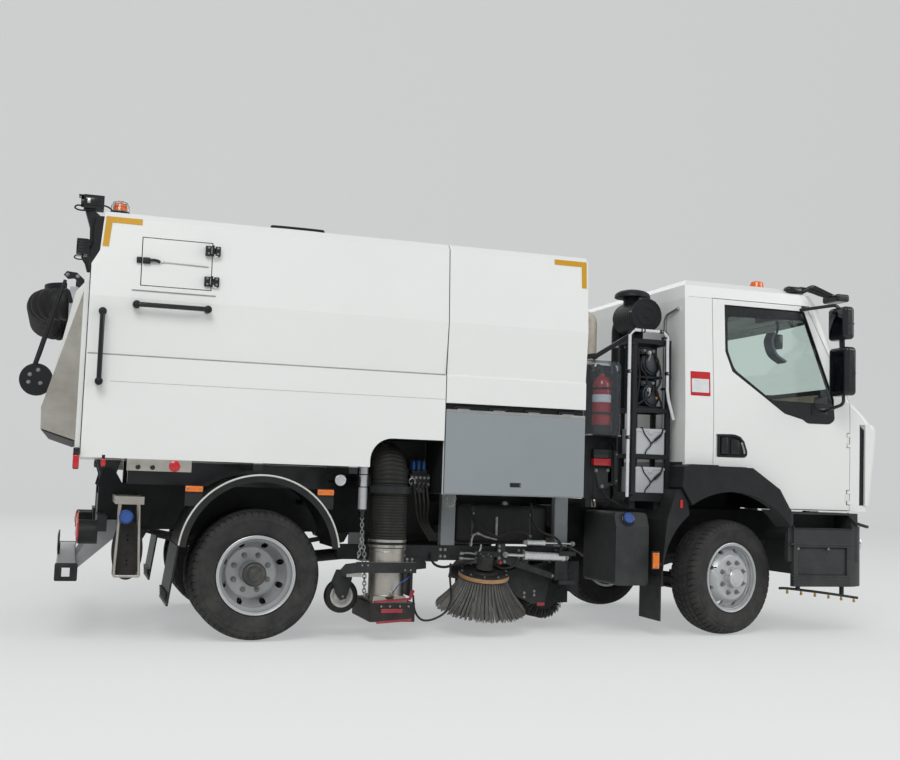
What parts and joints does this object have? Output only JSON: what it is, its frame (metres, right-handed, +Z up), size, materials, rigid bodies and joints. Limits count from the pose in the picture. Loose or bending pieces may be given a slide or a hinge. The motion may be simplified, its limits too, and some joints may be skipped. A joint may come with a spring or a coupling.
{
  "type": "street sweeper truck",
  "caption": "Forward-control truck with a tipping hopper, an engine housing, a suction nozzle, a side brush and a roller brush, all jointed.",
  "frame": {"origin": "on the ground, at the middle of the overall length, on the centre plane", "axes": "+X forward, +Y to the driver's left, +Z up; the front wheels stand turned 15 degrees to the left"},
  "size_m": [6.5099, 2.89, 2.91],
  "materials": {
    "white_paint": "gloss paint",
    "white_panel": "gloss paint",
    "grey_panel": "satin paint",
    "frame_paint": "satin paint",
    "gear_paint": "satin paint",
    "silver_paint": "satin paint",
    "engine_block": "cast",
    "axle_iron": "painted cast",
    "spring_steel": "oxidised",
    "stainless": "brushed",
    "aluminium_bar": "mill",
    "black_plastic": "textured",
    "bumper_plastic": "textured",
    "seat_fabric": "woven",
    "pale_case": "textured",
    "cabinet_plastic": "gloss",
    "hose_rubber": "ribbed",
    "bristles": "bristle",
    "tyre_rubber": "tread",
    "clear_glass": "clear"
  },
  "bodies": {
    "chassis": {"chassis_frame": "frame_paint", "sweeper_subframe": "gear_paint", "roller_hood": "gear_paint", "engine_and_shaft": "engine_block", "front_axle": "axle_iron", "rear_axle": "axle_iron", "leaf_springs": "spring_steel", "front_bumper": "bumper_plastic", "front_guards": "black_plastic", "rear_guards": "black_plastic", "side_tanks": "bumper_plastic", "underrun_bar": "aluminium_bar", "rear_lamps": "black_plastic", "stowage_rack": "stainless", "equipment_tower": "frame_paint", "stowage_boxes": "pale_case", "extinguisher_cabinet": "cabinet_plastic", "air_intake": "black_plastic", "exhaust_pipe": "silver_paint", "engine_housing": "white_paint", "blower_engine": "engine_block", "suction_hose": "hose_rubber"},
    "cab": {"cab_shell": "white_paint", "cab_arches": "black_plastic", "windscreen": "clear_glass", "cab_interior": "seat_fabric", "kerb_mirror": "black_plastic"},
    "lid": {"front_lid": "white_panel"},
    "door_right": {"door_right": "white_panel", "window_right": "clear_glass", "mirrors_right": "black_plastic"},
    "door_left": {"door_left": "white_panel", "window_left": "clear_glass", "mirrors_left": "black_plastic"},
    "hopper": {"hopper_shell": "white_paint", "grab_rails": "frame_paint", "beacon_posts": "white_paint"},
    "hatch": {"inspection_hatch": "white_panel"},
    "gate": {"tailgate": "white_paint", "discharge_chute": "stainless", "wandering_hose": "hose_rubber", "hose_boom": "frame_paint"},
    "flap_right": {"service_flap_right": "grey_panel"},
    "flap_left": {"service_flap_left": "grey_panel"},
    "knuckle_right": {"knuckle_right": "axle_iron"},
    "knuckle_left": {"knuckle_left": "axle_iron"},
    "front_wheel_right": {"tyre_front_right": "tyre_rubber", "rim_front_right": "silver_paint"},
    "front_wheel_left": {"tyre_front_left": "tyre_rubber", "rim_front_left": "silver_paint"},
    "rear_wheels_right": {"tyres_rear_right": "tyre_rubber", "rims_rear_right": "silver_paint"},
    "rear_wheels_left": {"tyres_rear_left": "tyre_rubber", "rims_rear_left": "silver_paint"},
    "brush_bracket": {"brush_bracket": "frame_paint"},
    "brush_arm": {"brush_arm": "frame_paint"},
    "side_brush": {"side_brush": "bristles"},
    "nozzle": {"suction_nozzle": "stainless"},
    "caster": {"nozzle_caster": "hose_rubber"},
    "roller": {"roller_brush": "bristles"}
  },
  "joints": [
    {"name": "cab_tilt", "type": "hinge", "parent": "chassis", "child": "cab", "pos_m": [3.085, 0, 0.904], "axis": [0, 1, 0], "range_deg": [0, 45]},
    {"name": "lid_lift", "type": "hinge", "parent": "cab", "child": "lid", "pos_m": [3.243, 0, 1.61], "axis": [0, -1, 0], "range_deg": [0, 80]},
    {"name": "door_right_swing", "type": "hinge", "parent": "cab", "child": "door_right", "pos_m": [2.942, -1.134, 1.3], "axis": [0, 0, 1], "range_deg": [0, 70]},
    {"name": "door_left_swing", "type": "hinge", "parent": "cab", "child": "door_left", "pos_m": [2.942, 1.134, 1.3], "axis": [0, 0, -1], "range_deg": [0, 70]},
    {"name": "hopper_tip", "type": "hinge", "parent": "chassis", "child": "hopper", "pos_m": [-2.645, 0, 1.064], "axis": [0, -1, 0], "range_deg": [0, 50]},
    {"name": "tailgate_lift", "type": "hinge", "parent": "hopper", "child": "gate", "pos_m": [-2.863, 0, 2.394], "axis": [0, 1, 0], "range_deg": [0, 90]},
    {"name": "hatch_swing", "type": "hinge", "parent": "hopper", "child": "hatch", "pos_m": [-2.089, -1.258, 2.446], "axis": [0, 0, 1], "range_deg": [0, 90]},
    {"name": "flap_right_lift", "type": "hinge", "parent": "chassis", "child": "flap_right", "pos_m": [0.09, -1.222, 1.606], "axis": [-1, 0, 0], "range_deg": [0, 90]},
    {"name": "flap_left_lift", "type": "hinge", "parent": "chassis", "child": "flap_left", "pos_m": [0.09, 1.222, 1.606], "axis": [1, 0, 0], "range_deg": [0, 90]},
    {"name": "steer_right", "type": "hinge", "parent": "chassis", "child": "knuckle_right", "pos_m": [1.855, -0.877, 0.4335], "axis": [0, 0, 1], "range_deg": [-50, 20]},
    {"name": "steer_left", "type": "hinge", "parent": "chassis", "child": "knuckle_left", "pos_m": [1.855, 0.877, 0.4335], "axis": [0, 0, 1], "range_deg": [-50, 20]},
    {"name": "front_wheel_right_spin", "type": "hinge", "parent": "knuckle_right", "child": "front_wheel_right", "pos_m": [1.88878, -1.00305, 0.4335], "axis": [-0.2588, 0.9659, 0], "continuous": true},
    {"name": "front_wheel_left_spin", "type": "hinge", "parent": "knuckle_left", "child": "front_wheel_left", "pos_m": [1.82122, 1.00305, 0.4335], "axis": [-0.2588, 0.9659, 0], "continuous": true},
    {"name": "rear_wheels_right_spin", "type": "hinge", "parent": "chassis", "child": "rear_wheels_right", "pos_m": [-1.695, -1.0475, 0.4335], "axis": [0, 1, 0], "continuous": true},
    {"name": "rear_wheels_left_spin", "type": "hinge", "parent": "chassis", "child": "rear_wheels_left", "pos_m": [-1.695, 1.0475, 0.4335], "axis": [0, 1, 0], "continuous": true},
    {"name": "brush_swing", "type": "hinge", "parent": "chassis", "child": "brush_bracket", "pos_m": [0.63, -0.88, 0.408], "axis": [0, 0, 1], "range_deg": [0, 35]},
    {"name": "brush_lift", "type": "hinge", "parent": "brush_bracket", "child": "brush_arm", "pos_m": [0.568, -0.88, 0.408], "axis": [0, 1, 0], "range_deg": [-8, 0]},
    {"name": "brush_spin", "type": "hinge", "parent": "brush_arm", "child": "side_brush", "pos_m": [-0.005, -0.9, 0.452], "axis": [0, -0.2079, 0.9781], "continuous": true},
    {"name": "nozzle_lift", "type": "slide", "parent": "chassis", "child": "nozzle", "axis": [0, 0, 1], "range_m": [-0.125, 0.03]},
    {"name": "caster_spin", "type": "hinge", "parent": "nozzle", "child": "caster", "pos_m": [-1.09, -1.025, 0.29], "axis": [0, 1, 0], "continuous": true},
    {"name": "roller_spin", "type": "hinge", "parent": "chassis", "child": "roller", "pos_m": [0.535, 0, 0.25], "axis": [-0.1736, 0.9848, 0], "continuous": true}
  ],
  "couplings": [
    {"joint": "steer_left", "follows": "steer_right", "ratio": 1}
  ]
}
